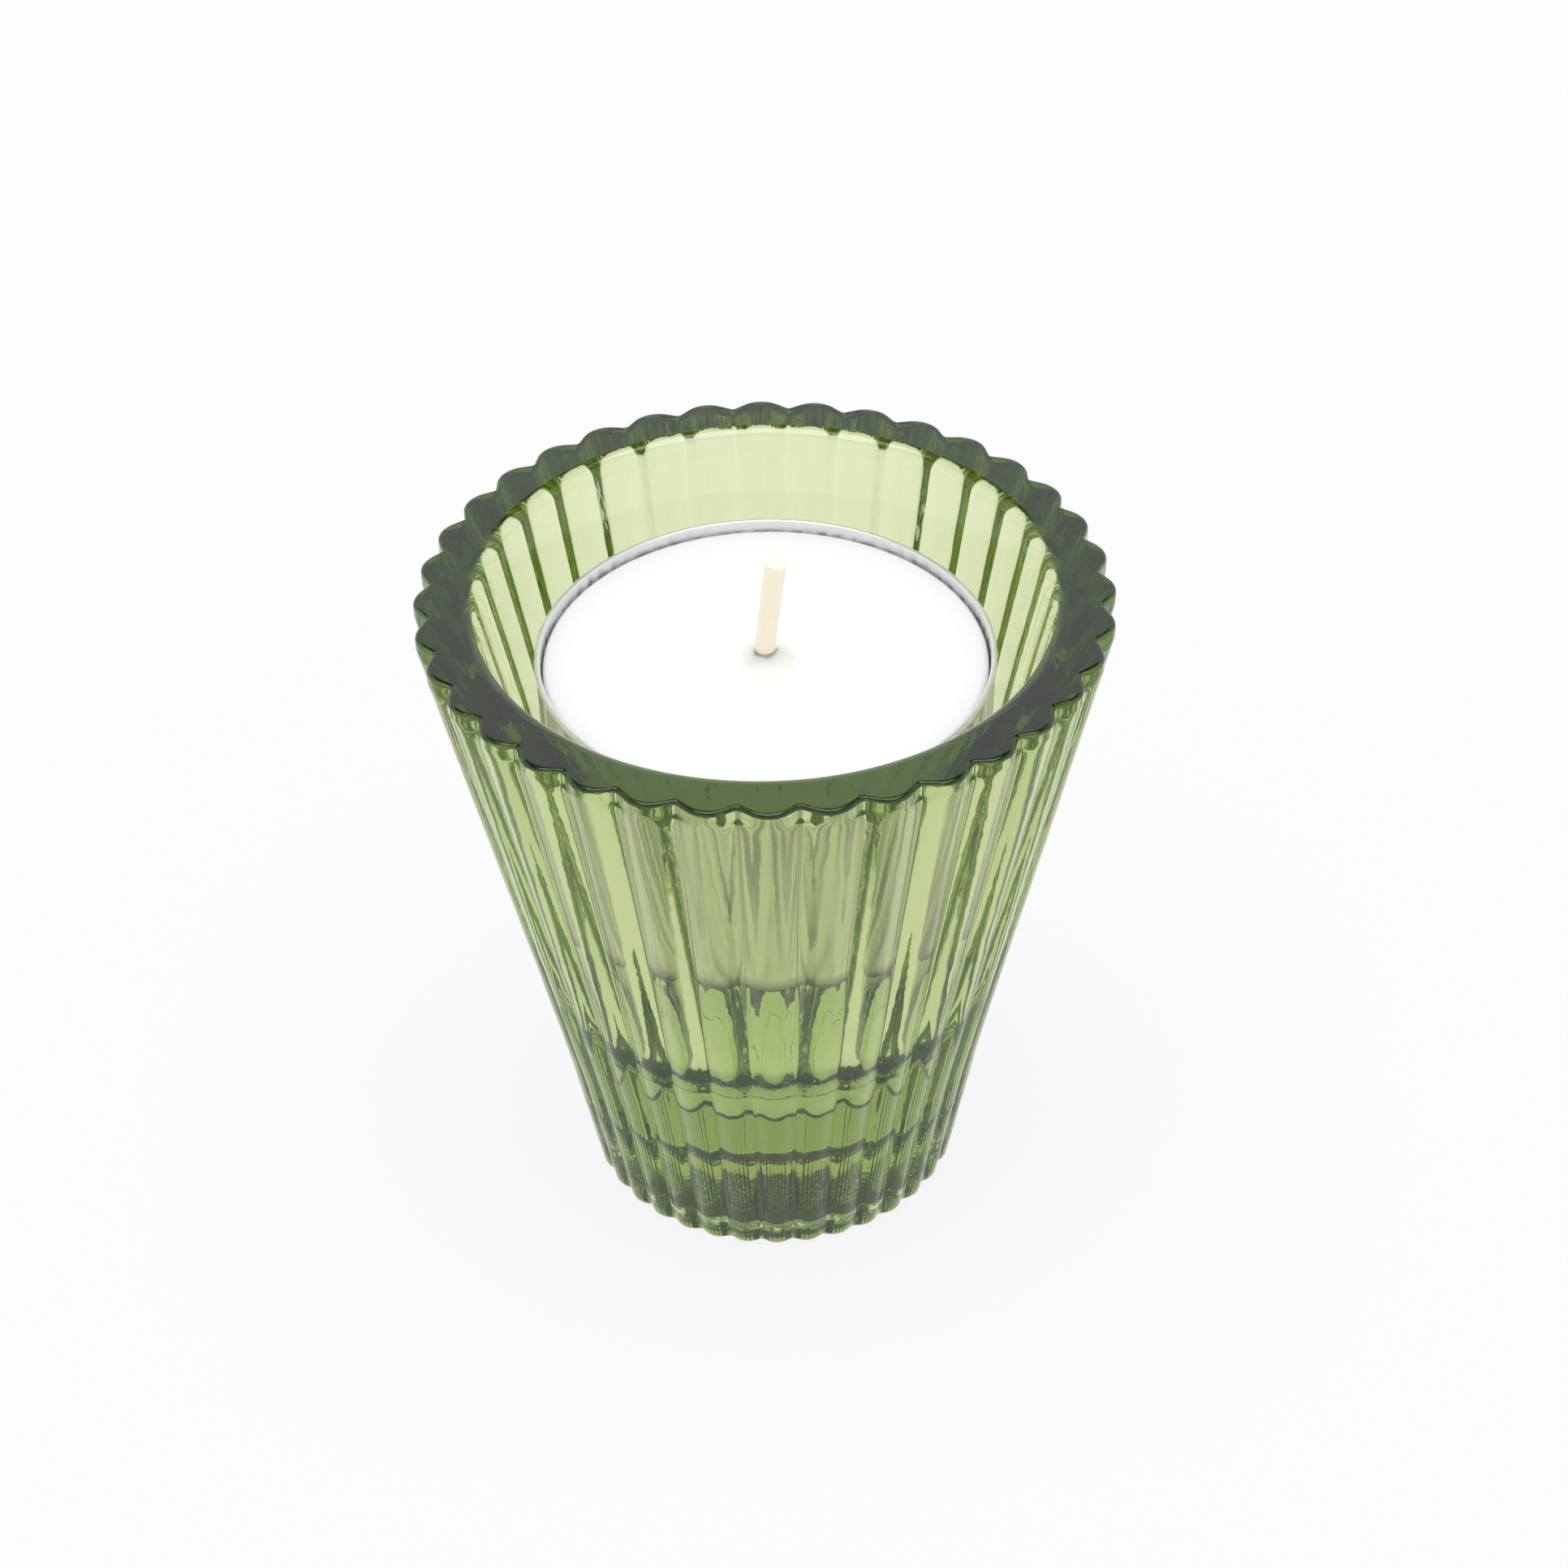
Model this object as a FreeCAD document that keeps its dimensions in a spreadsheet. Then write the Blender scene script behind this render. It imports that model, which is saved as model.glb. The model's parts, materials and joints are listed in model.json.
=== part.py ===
# A ribbed, pressed glass tealight holder with its candle.
#
# The holder is a tapering tumbler of green glass. Its outside carries a ring of upright ribs
# and its inside is a smooth cone with a rounded floor. The candle is a drawn aluminium cup
# that holds a disc of wax, a cotton wick and the steel tab that keeps the wick upright. It
# drops in from above and wedges in the cone some way above the floor.
#
# +Z is up. The origin is the middle of the holder's foot, on the surface that it stands on.
# All sizes are in millimetres.

import FreeCAD, Part
import Sketcher
import math
import os

SHEET = "Sizes"
POINT_START, POINT_END, POINT_CENTRE = 1, 2, 3
SKETCH_ORIGIN = (-1, 1)
X_AXIS, Y_AXIS = -1, -2

# name: (value, what it is)
DIMENSIONS = {
    "holder_height": (60.0, "foot to rim"),
    "rim_crest_radius": (29.3, "rib crests in the rim's band"),
    "rim_band": (1.2, "upright band round the rim"),
    "knee_height": (14.0, "where the lower, steeper wall ends"),
    "knee_crest_radius": (19.1, "rib crests at the knee"),
    "foot_crest_radius": (16.4, "rib crests, where the wall's line meets the foot"),
    "wall_thickness": (5.25, "level distance from a rib's crest to the bore"),
    "floor_thickness": (13.0, "solid glass below the bore"),
    "floor_round": (14.0, "bore's floor to its wall"),
    "lip_round": (1.3, "bore to rim"),
    "rim_round": (0.4, "rim to its band"),
    "foot_round": (0.8, "foot to rib crests"),
    "rib_count": (36, "ribs round the holder"),
    "band_rib_depth": (1.2, "crest to valley in the rim's band"),
    "body_rib_depth": (0.9, "crest to valley below the band, scaled up to the rim"),
    "band_step": (0.5, "height over which the ribs deepen into the band"),
    "rib_crest_round": (2.4, "rib's crest at the rim"),
    "rib_valley_round": (0.5, "valley between two ribs at the rim"),
    "recess_radius": (11.0, "hollow under the foot"),
    "recess_depth": (0.6, "hollow under the foot"),
    "cup_height": (19.4, "candle cup with its rolled rim"),
    "cup_rim_radius": (19.5, "outside of the rolled rim"),
    "cup_foot_radius": (18.7, "outside of the wall at the cup's foot"),
    "cup_wall": (0.2, "aluminium sheet"),
    "cup_corner_round": (1.2, "cup's foot to its wall"),
    "cup_bead_radius": (0.25, "rolled rim's section"),
    "seat_clearance": (0.1, "cup's corner to the bore"),
    "wax_drop": (0.8, "cup's rim down to the wax"),
    "wax_clearance": (0.15, "wax to the cup's wall"),
    "wax_edge_round": (0.5, "wax's upper edge"),
    "mound_radius": (2.4, "raised wax round the wick"),
    "mound_height": (1.2, "raised wax round the wick"),
    "wick_radius": (0.9, "braided cotton"),
    "wick_stand": (9.8, "wick's end above the flat of the wax"),
    "wick_lean": (7.0, "degrees off upright above the wax"),
    "wick_bend_radius": (9.0, "where the wick starts to lean"),
    "wick_clearance": (0.02, "wick to the wax and to the tab's neck"),
    "tab_radius": (6.5, "wick tab's disc"),
    "tab_sheet": (0.25, "wick tab's steel sheet"),
    "tab_neck_height": (3.0, "wick tab's neck, with its sheet"),
}

doc = FreeCAD.newDocument("TealightHolder")


class Size:
    """A value with the spreadsheet formula that gives it, so both come from one line."""

    def __init__(self, value, formula):
        self.value = value
        self.formula = formula

    @staticmethod
    def of(other):
        return other if isinstance(other, Size) else Size(float(other), repr(float(other)))

    def joined(self, sign, other, value):
        return Size(value, f"({self.formula} {sign} {other.formula})")

    def __add__(self, other):
        other = Size.of(other)
        return self.joined("+", other, self.value + other.value)

    def __sub__(self, other):
        other = Size.of(other)
        return self.joined("-", other, self.value - other.value)

    def __mul__(self, other):
        other = Size.of(other)
        return self.joined("*", other, self.value * other.value)

    def __truediv__(self, other):
        other = Size.of(other)
        return self.joined("/", other, self.value / other.value)


ZERO = Size(0.0, "0")


def root(size):
    return Size(math.sqrt(size.value), f"sqrt({size.formula})")


def turned_by(angle_name, function):
    """The sine or cosine of an angle that the spreadsheet gives in degrees."""
    value = getattr(math, function)(math.radians(size[angle_name].value))
    return Size(value, f"{function}({SHEET}.{angle_name} * 1 deg)")


def larger(one, other):
    return Size(max(one.value, other.value), f"max({one.formula}; {other.formula})")


def by_height(height, limit, above, below):
    """One size where a height is above a limit, and the other size elsewhere."""
    chosen = above if height.value > limit.value else below
    test = f"{height.formula} > {limit.formula}"
    return Size(chosen.value, f"({test} ? {above.formula} : {below.formula})")


def make_sheet():
    """Writes the driving dimensions into the spreadsheet and returns them by name."""
    sheet = doc.addObject("Spreadsheet::Sheet", SHEET)
    for row, (name, (value, meaning)) in enumerate(DIMENSIONS.items(), start=1):
        sheet.set(f"A{row}", name)
        sheet.set(f"B{row}", str(value))
        sheet.set(f"C{row}", meaning)
        sheet.setAlias(f"B{row}", name)
    doc.recompute()
    return {name: Size(float(getattr(sheet, name)), f"{SHEET}.{name}") for name in DIMENSIONS}


size = make_sheet()


# ---- sketches -------------------------------------------------------------------------


def body_sketch(body, name, plane_role):
    """A sketch on one of the body's own origin planes."""
    sketch = body.newObject("Sketcher::SketchObject", name)
    plane = next(f for f in body.Origin.OriginFeatures if f.Role == plane_role)
    sketch.AttachmentSupport = (plane, [""])
    sketch.MapMode = "FlatFace"
    return sketch


def bind(sketch, constraint, size):
    """Adds a sized constraint that follows the spreadsheet."""
    sketch.setExpression(f"Constraints[{sketch.addConstraint(constraint)}]", size.formula)


def pin_point(sketch, index, point, place):
    """Ties one end of a line or arc to a place that the spreadsheet gives."""
    for kind, axis, coordinate in zip(("DistanceX", "DistanceY"), (Y_AXIS, X_AXIS), place):
        if coordinate is ZERO:
            sketch.addConstraint(Sketcher.Constraint("PointOnObject", index, point, axis))
            continue
        distance = Sketcher.Constraint(kind, *SKETCH_ORIGIN, index, point, coordinate.value)
        bind(sketch, distance, coordinate)


def draw_edges(sketch, steps, last):
    """Edges through (place, arc) steps, each the start of an edge, on to the last place.

    The arc is None for a straight edge and else (centre, radius, turn), where turn is 1
    anticlockwise and -1 clockwise.
    """
    vector = FreeCAD.Vector
    places = [place for place, _ in steps] + [last]
    ends = []
    for number, (place, arc) in enumerate(steps):
        start, end = (vector(p[0].value, p[1].value, 0) for p in places[number : number + 2])
        if arc is None:
            edge, backwards = Part.LineSegment(start, end), False
        else:
            centre = vector(arc[0][0].value, arc[0][1].value, 0)
            backwards = arc[2] < 0
            turned = (end, start) if backwards else (start, end)
            angles = [math.atan2(p.y - centre.y, p.x - centre.x) for p in turned]
            edge = Part.ArcOfCircle(Part.Circle(centre, vector(0, 0, 1), arc[1].value), *angles)
        index = sketch.addGeometry(edge, False)
        ends.append((POINT_END, POINT_START) if backwards else (POINT_START, POINT_END))
        pin_point(sketch, index, ends[-1][0], place)
        if arc is not None:
            bind(sketch, Sketcher.Constraint("Radius", index, arc[1].value), arc[1])
    for number in range(1, len(steps)):
        before, after = ends[number - 1][1], ends[number][0]
        sketch.addConstraint(Sketcher.Constraint("Coincident", number - 1, before, number, after))
    return ends


def draw_outline(sketch, steps):
    """A closed outline."""
    ends = draw_edges(sketch, steps, steps[0][0])
    close = Sketcher.Constraint("Coincident", len(steps) - 1, ends[-1][1], 0, ends[0][0])
    sketch.addConstraint(close)


def draw_path(sketch, steps, last):
    """An open path."""
    ends = draw_edges(sketch, steps, last)
    pin_point(sketch, len(steps) - 1, ends[-1][1], last)


def turned_body(label, steps):
    """A body turned about Z from a closed outline of (radius, height) places."""
    body = doc.addObject("PartDesign::Body", label)
    body.Label = label
    sketch = body_sketch(body, label + "_outline", "XZ_Plane")
    draw_outline(sketch, steps)
    turned = body.newObject("PartDesign::Revolution", label + "_turned")
    turned.Profile = sketch
    turned.ReferenceAxis = (sketch, ["V_Axis"])
    turned.Angle = 360
    body.Tip = turned
    return body


def raise_to(part, height):
    part.setExpression("Placement.Base.z", height.formula)


# ---- where the glass walls run ---------------------------------------------------------

band_height = size["holder_height"] - size["rim_band"]
upper_slope = (size["rim_crest_radius"] - size["knee_crest_radius"]) / (
    band_height - size["knee_height"]
)
upper_secant = root(upper_slope * upper_slope + 1)
lower_slope = (size["knee_crest_radius"] - size["foot_crest_radius"]) / size["knee_height"]
lower_secant = root(lower_slope * lower_slope + 1)


def bore_radius(height):
    """The bore's cone at a height: the crests' upper line, moved in by the wall."""
    drop = band_height - height
    return size["rim_crest_radius"] - size["wall_thickness"] - upper_slope * drop


def floor_turn_centre():
    """Centre of the rounding between the bore's cone and its floor."""
    height = size["floor_thickness"] + size["floor_round"]
    return (bore_radius(height) - upper_secant * size["floor_round"], height)


def cone_foot_height():
    """Where the bore's cone ends and the rounding starts."""
    return floor_turn_centre()[1] - size["floor_round"] * upper_slope / upper_secant


def seat_height():
    """Where the candle comes to rest, on the first that it meets on its way down.

    Its corner meets the cone or, below the cone, the rounding. Its foot can meet the floor.
    """
    corner, floor_round = size["cup_corner_round"], size["floor_round"]
    reach = corner + size["seat_clearance"]
    corner_radius = size["cup_foot_radius"] - corner
    on_cone = (corner_radius + reach * upper_secant - bore_radius(ZERO)) / upper_slope
    cone_touch = on_cone - reach * upper_slope / upper_secant

    turn_radius, turn_height = floor_turn_centre()
    across, span = corner_radius - turn_radius, floor_round - reach
    on_turn = turn_height - root(larger(ZERO, span * span - across * across))

    wedged = by_height(cone_touch, cone_foot_height(), on_cone, on_turn) - corner
    return larger(wedged, size["floor_thickness"] + size["seat_clearance"])


# ---- the glass holder -------------------------------------------------------------------

RIM_STEPS = 4
FOOT_STEPS = 4
FLANK_ROOM = 0.9


def crest_line():
    """(crest radius, height, rib depth) places up the outside, close together at its edges."""
    band_depth, body_depth = size["band_rib_depth"].value, size["body_rib_depth"].value
    round_foot = size["foot_round"].value
    foot_centre = (
        size["foot_crest_radius"] + lower_slope * round_foot - lower_secant * round_foot
    ).value
    foot_turn = math.pi / 2 - math.atan(lower_slope.value)
    places = []
    for step in range(FOOT_STEPS + 1):
        angle = -math.pi / 2 + foot_turn * step / FOOT_STEPS
        radius = foot_centre + round_foot * math.cos(angle)
        places.append((radius, round_foot * (1 + math.sin(angle)), body_depth))
    places.append((size["knee_crest_radius"].value, size["knee_height"].value, body_depth))

    rim_radius, rim_height = size["rim_crest_radius"].value, size["holder_height"].value
    round_rim, step_height = size["rim_round"].value, size["band_step"]
    below_band = rim_radius - (upper_slope * step_height).value
    places.append((below_band, (band_height - step_height).value, body_depth))
    places.append((rim_radius, band_height.value, band_depth))
    for step in range(RIM_STEPS + 1):
        angle = math.pi / 2 * step / RIM_STEPS
        radius = rim_radius - round_rim * (1 - math.cos(angle))
        places.append((radius, rim_height - round_rim * (1 - math.sin(angle)), band_depth))
    return places


def ribbed_wire(crest_radius, height, depth_at_rim):
    """The closed outline of all ribs: crest arcs and valley arcs joined by flat flanks.

    The ribs aim at one point, so their depth and roundings shrink with the radius. The two
    roundings also shrink where the pitch would leave no flank between them.
    """
    share = crest_radius / size["rim_crest_radius"].value
    depth = depth_at_rim * share
    half_pitch = math.pi / size["rib_count"].value
    half_width = crest_radius * math.sin(half_pitch)
    room = FLANK_ROOM * (half_width**2 + depth**2) / (2 * depth)
    roundings = size["rib_crest_round"].value + size["rib_valley_round"].value
    share = min(share, room / roundings)
    crest_round = size["rib_crest_round"].value * share
    valley_round = size["rib_valley_round"].value * share
    valley_radius = crest_radius - depth

    crest_centre = FreeCAD.Vector(crest_radius - crest_round, 0, 0)
    valley_direction = FreeCAD.Vector(math.cos(half_pitch), math.sin(half_pitch), 0)
    valley_centre = valley_direction * (valley_radius + valley_round)
    across = valley_centre - crest_centre
    turn = math.atan2(across.y, across.x) - math.acos((crest_round + valley_round) / across.Length)
    normal = FreeCAD.Vector(math.cos(turn), math.sin(turn), 0)
    crest_end = crest_centre + normal * crest_round
    valley_start = valley_centre - normal * valley_round
    crest_start = FreeCAD.Vector(crest_end.x, -crest_end.y, 0)
    crest_tip = FreeCAD.Vector(crest_radius, 0, 0)
    valley_bottom = valley_direction * valley_radius
    along = valley_direction * (2 * valley_start.dot(valley_direction))
    valley_end = along - valley_start

    edges = []
    for rib in range(int(size["rib_count"].value)):
        spin = FreeCAD.Rotation(FreeCAD.Vector(0, 0, 1), math.degrees(2 * half_pitch * rib))
        next_spin = FreeCAD.Rotation(
            FreeCAD.Vector(0, 0, 1), math.degrees(2 * half_pitch * (rib + 1))
        )
        lift = FreeCAD.Vector(0, 0, height)
        crest = [spin.multVec(p) + lift for p in (crest_start, crest_tip, crest_end)]
        valley = [spin.multVec(p) + lift for p in (valley_start, valley_bottom, valley_end)]
        next_crest_start = next_spin.multVec(crest_start) + lift
        edges.append(Part.Arc(*crest).toShape())
        edges.append(Part.LineSegment(crest[2], valley[0]).toShape())
        edges.append(Part.Arc(*valley).toShape())
        edges.append(Part.LineSegment(valley[2], next_crest_start).toShape())
    return Part.Wire(edges)


def make_blank():
    """The solid ribbed outside: one ruled loft through the ribs' outlines."""
    outlines = []
    for number, (radius, height, depth) in enumerate(crest_line()):
        outline = doc.addObject("Part::Feature", f"rib_outline_{number}")
        outline.Shape = ribbed_wire(radius, height, depth)
        outlines.append(outline)
    blank = doc.addObject("Part::Loft", "ribbed_blank")
    blank.Sections = outlines
    blank.Solid = True
    blank.Ruled = True
    return blank


def make_bore():
    """What the plunger leaves: a cone with a rounded floor and a flared lip."""
    floor, turn = size["floor_thickness"], size["floor_round"]
    floor_centre = floor_turn_centre()
    wall_foot = (floor_centre[0] + turn / upper_secant, cone_foot_height())

    rim, lip = size["holder_height"], size["lip_round"]
    lip_centre = (bore_radius(rim - lip) + upper_secant * lip, rim - lip)
    rise = lip * upper_slope / upper_secant
    wall_top = (lip_centre[0] - lip / upper_secant, lip_centre[1] + rise)
    above = rim + lip
    return turned_body(
        "bore",
        [
            ((ZERO, floor), None),
            ((floor_centre[0], floor), (floor_centre, turn, 1)),
            (wall_foot, None),
            (wall_top, (lip_centre, lip, -1)),
            ((lip_centre[0], rim), None),
            ((lip_centre[0], above), None),
            ((ZERO, above), None),
        ],
    )


def make_holder():
    bored = doc.addObject("Part::Cut", "bored_blank")
    bored.Base = make_blank()
    bored.Tool = make_bore()
    recess = doc.addObject("Part::Cone", "foot_recess")
    recess.setExpression("Radius1", size["recess_radius"].formula)
    recess.setExpression("Radius2", (size["recess_radius"] - size["recess_depth"]).formula)
    recess.setExpression("Height", size["recess_depth"].formula)
    holder = doc.addObject("Part::Cut", "glass_holder")
    holder.Label = "glass_holder"
    holder.Base = bored
    holder.Tool = recess
    return holder


# ---- the candle ---------------------------------------------------------------------------


def cup_mouth_radius():
    """Inside of the cup's wall at its mouth, where the rolled rim starts."""
    return size["cup_rim_radius"] - size["cup_bead_radius"] * 2


def make_cup():
    """A drawn cup with a rounded corner, a slightly flared wall and a rolled rim."""
    corner, wall = size["cup_corner_round"], size["cup_wall"]
    bead = size["cup_bead_radius"]
    foot = size["cup_foot_radius"]
    corner_centre = (foot - corner, corner)
    bead_centre = (size["cup_rim_radius"] - bead, size["cup_height"] - bead)
    mouth = cup_mouth_radius()
    outside = mouth + wall
    reach = bead_centre[0] - outside
    under_bead = bead_centre[1] - root(bead * bead - reach * reach)
    return turned_body(
        "candle_cup",
        [
            ((ZERO, ZERO), None),
            ((foot - corner, ZERO), (corner_centre, corner, 1)),
            ((foot, corner), None),
            ((outside, under_bead), (bead_centre, bead, 1)),
            ((mouth, bead_centre[1]), None),
            ((foot - wall, corner), (corner_centre, corner - wall, -1)),
            ((foot - corner, wall), None),
            ((ZERO, wall), None),
        ],
    )


def wax_thickness():
    """From the cup's floor up to the flat of the wax."""
    return size["cup_height"] - size["wax_drop"] - size["cup_wall"]


def make_wax():
    """The poured wax: round its foot like the cup, with a low mound round the wick."""
    corner = size["cup_corner_round"] - size["cup_wall"]
    gap = size["wax_clearance"]
    wall_foot = size["cup_foot_radius"] - size["cup_wall"] - gap
    top = wax_thickness()
    edge = size["wax_edge_round"]
    flare = (cup_mouth_radius() - size["cup_foot_radius"] + size["cup_wall"]) / (
        size["cup_height"] - size["cup_bead_radius"] - size["cup_corner_round"]
    )
    wall_top = wall_foot + flare * (top - edge - corner)
    hole = size["wick_radius"] + size["wick_clearance"]
    neck = hole + size["tab_sheet"] + size["wick_clearance"]
    tab_room = size["tab_sheet"] + size["wick_clearance"]
    neck_room = size["tab_neck_height"] + size["wick_clearance"]
    tab_edge = size["tab_radius"] + size["wick_clearance"]
    return turned_body(
        "wax_fill",
        [
            ((tab_edge, ZERO), None),
            ((wall_foot - corner, ZERO), ((wall_foot - corner, corner), corner, 1)),
            ((wall_foot, corner), None),
            ((wall_top, top - edge), ((wall_top - edge, top - edge), edge, 1)),
            ((wall_top - edge, top), None),
            ((size["mound_radius"], top), None),
            ((hole + size["mound_height"], top + size["mound_height"]), None),
            ((hole, top + size["mound_height"]), None),
            ((hole, neck_room), None),
            ((neck, neck_room), None),
            ((neck, tab_room), None),
            ((tab_edge, tab_room), None),
        ],
    )


def make_tab():
    """The stamped wick tab: a flat disc drawn up into a neck."""
    bore = size["wick_radius"] + size["wick_clearance"]
    sheet = size["tab_sheet"]
    return turned_body(
        "wick_tab",
        [
            ((bore, ZERO), None),
            ((size["tab_radius"], ZERO), None),
            ((size["tab_radius"], sheet), None),
            ((bore + sheet, sheet), None),
            ((bore + sheet, size["tab_neck_height"]), None),
            ((bore, size["tab_neck_height"]), None),
        ],
    )


def make_wick():
    """A round cotton wick: upright through the wax, then leaning towards +X."""
    body = doc.addObject("PartDesign::Body", "wick")
    body.Label = "wick"
    section = body_sketch(body, "wick_section", "XY_Plane")
    circle = Part.Circle(FreeCAD.Vector(), FreeCAD.Vector(0, 0, 1), size["wick_radius"].value)
    section.addGeometry(circle, False)
    section.addConstraint(Sketcher.Constraint("Coincident", 0, POINT_CENTRE, *SKETCH_ORIGIN))
    radius = size["wick_radius"]
    bind(section, Sketcher.Constraint("Radius", 0, radius.value), radius)

    lean_sine, lean_cosine = turned_by("wick_lean", "sin"), turned_by("wick_lean", "cos")
    bend = size["wick_bend_radius"]
    upright = wax_thickness() + size["mound_height"]
    bend_end = (bend - bend * lean_cosine, upright + bend * lean_sine)
    tip_height = wax_thickness() + size["wick_stand"]
    tip = (bend_end[0] + (tip_height - bend_end[1]) * lean_sine / lean_cosine, tip_height)
    path = body_sketch(body, "wick_path", "XZ_Plane")
    draw_path(
        path,
        [((ZERO, ZERO), None), ((ZERO, upright), ((bend, upright), bend, -1)), (bend_end, None)],
        tip,
    )

    pipe = body.newObject("PartDesign::AdditivePipe", "wick_pipe")
    pipe.Profile = section
    pipe.Spine = (path, ["Edge1", "Edge2", "Edge3"])
    body.Tip = pipe
    return body


# ---- the assembly ---------------------------------------------------------------------------


def make_parts():
    """Every sub-part where it lies at rest."""
    holder = make_holder()
    cup, wax, tab, wick = make_cup(), make_wax(), make_tab(), make_wick()
    seat = seat_height()
    raise_to(cup, seat)
    for part in (wax, tab, wick):
        raise_to(part, seat + size["cup_wall"])
    return [holder, cup, wax, tab, wick]


def check(parts):
    for item in doc.Objects:
        if "Invalid" in item.State or "Error" in item.State:
            raise RuntimeError(f"{item.Name} did not build: {item.State}")
    for part in parts:
        if part.Shape.isNull() or not part.Shape.isValid() or not part.Shape.Solids:
            raise RuntimeError(f"{part.Label} has no valid solid")


parts = make_parts()
doc.recompute()
check(parts)
os.makedirs("parts", exist_ok=True)
for part in parts:
    part.Shape.exportStep(f"parts/{part.Label}.step")
    box = part.Shape.BoundBox
    print(f"{part.Label}: {part.Shape.Volume:.1f} mm3, z {box.ZMin:.2f} to {box.ZMax:.2f}")
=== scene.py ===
"""A ribbed glass tealight holder and its candle, dressed for a studio view.

The CAD frame gives every piece its place and its moving body. Each piece is then rebuilt
here with the shape and surface that its making leaves: the pressed glass with its ripples,
the drawn cup with its rolled rim, the poured wax, the braided wick and its stamped tab.
"""

import json
import math

import bpy
from bpy.props import FloatProperty, FloatVectorProperty, IntProperty, PointerProperty
from bpy.types import Operator, Panel, PropertyGroup
from mathutils import Matrix, Vector, noise


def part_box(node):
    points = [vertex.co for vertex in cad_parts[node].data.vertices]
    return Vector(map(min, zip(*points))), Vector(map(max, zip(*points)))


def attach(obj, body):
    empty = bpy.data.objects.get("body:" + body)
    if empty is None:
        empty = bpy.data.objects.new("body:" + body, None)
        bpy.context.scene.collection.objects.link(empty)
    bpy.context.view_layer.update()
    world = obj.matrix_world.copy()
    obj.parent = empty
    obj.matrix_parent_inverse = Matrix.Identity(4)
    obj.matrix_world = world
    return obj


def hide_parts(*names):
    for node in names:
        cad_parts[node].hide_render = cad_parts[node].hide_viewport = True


bl_info = {
    "name": "Ribbed Tealight Holder",
    "version": (1, 0, 0),
    "blender": (4, 5, 0),
    "location": "3D View > Sidebar > Tealight",
    "description": "Builds a ribbed glass tealight holder and its candle round their CAD frame",
    "category": "Add Mesh",
}

MM = 0.001

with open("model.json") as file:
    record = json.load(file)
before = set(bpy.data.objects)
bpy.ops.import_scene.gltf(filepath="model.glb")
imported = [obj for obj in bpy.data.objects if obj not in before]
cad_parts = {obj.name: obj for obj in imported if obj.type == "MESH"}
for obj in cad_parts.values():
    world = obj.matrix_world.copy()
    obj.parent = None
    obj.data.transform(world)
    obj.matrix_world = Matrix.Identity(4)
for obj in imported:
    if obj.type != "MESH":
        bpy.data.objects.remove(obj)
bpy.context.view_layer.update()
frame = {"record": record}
holder_low, holder_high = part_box("glass_holder")
cup_low, cup_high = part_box("candle_cup")
wax_low, wax_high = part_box("wax_fill")
wick_low, wick_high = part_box("wick")
tab_low, tab_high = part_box("wick_tab")


# ---- colours and nodes ------------------------------------------------------------------


def linear(hex_colour):
    """An sRGB hex colour, such as #80FF00, as the linear values that shaders take."""
    channels = [int(hex_colour[i : i + 2], 16) / 255 for i in (1, 3, 5)]
    return [c / 12.92 if c <= 0.04045 else ((c + 0.055) / 1.055) ** 2.4 for c in channels]


def length(name, millimetres, description):
    """A size that the sidebar shows in the scene's own unit."""
    return FloatProperty(
        name=name,
        description=description,
        default=millimetres * MM,
        min=0.0,
        unit="LENGTH",
        precision=5,
    )


def colour(name, hex_colour, description):
    """A colour that the sidebar shows as a swatch."""
    return FloatVectorProperty(
        name=name,
        description=description,
        default=linear(hex_colour),
        size=3,
        min=0.0,
        max=1.0,
        subtype="COLOR",
    )


def add_node(tree, kind, inputs=None, **settings):
    """Adds a node, sets it up, and gives each input a value or another node's output."""
    node = tree.nodes.new(kind)
    for name, value in settings.items():
        setattr(node, name, value)
    for name, value in (inputs or {}).items():
        if isinstance(value, bpy.types.NodeSocket):
            tree.links.new(value, node.inputs[name])
        else:
            node.inputs[name].default_value = value
    return node


def new_material(name):
    """An empty node material and its output node."""
    material = bpy.data.materials.new(name)
    material.use_nodes = True
    material.node_tree.nodes.clear()
    return material, add_node(material.node_tree, "ShaderNodeOutputMaterial")


# ---- meshes -------------------------------------------------------------------------------


def arc(centre, radius, start, end, steps):
    """(radius, height) points along an arc, with its angles in degrees."""
    points = []
    for step in range(steps + 1):
        angle = math.radians(start + (end - start) * step / steps)
        x = centre[0] + radius * math.cos(angle)
        points.append((x, centre[1] + radius * math.sin(angle)))
    return points


def stretch(start, end, steps):
    """Points between two ends, without the ends, that crowd towards both of them."""
    shares = [0.5 - 0.5 * math.cos(math.pi * step / steps) for step in range(1, steps)]
    return [tuple(a + (b - a) * share for a, b in zip(start, end)) for share in shares]


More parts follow.
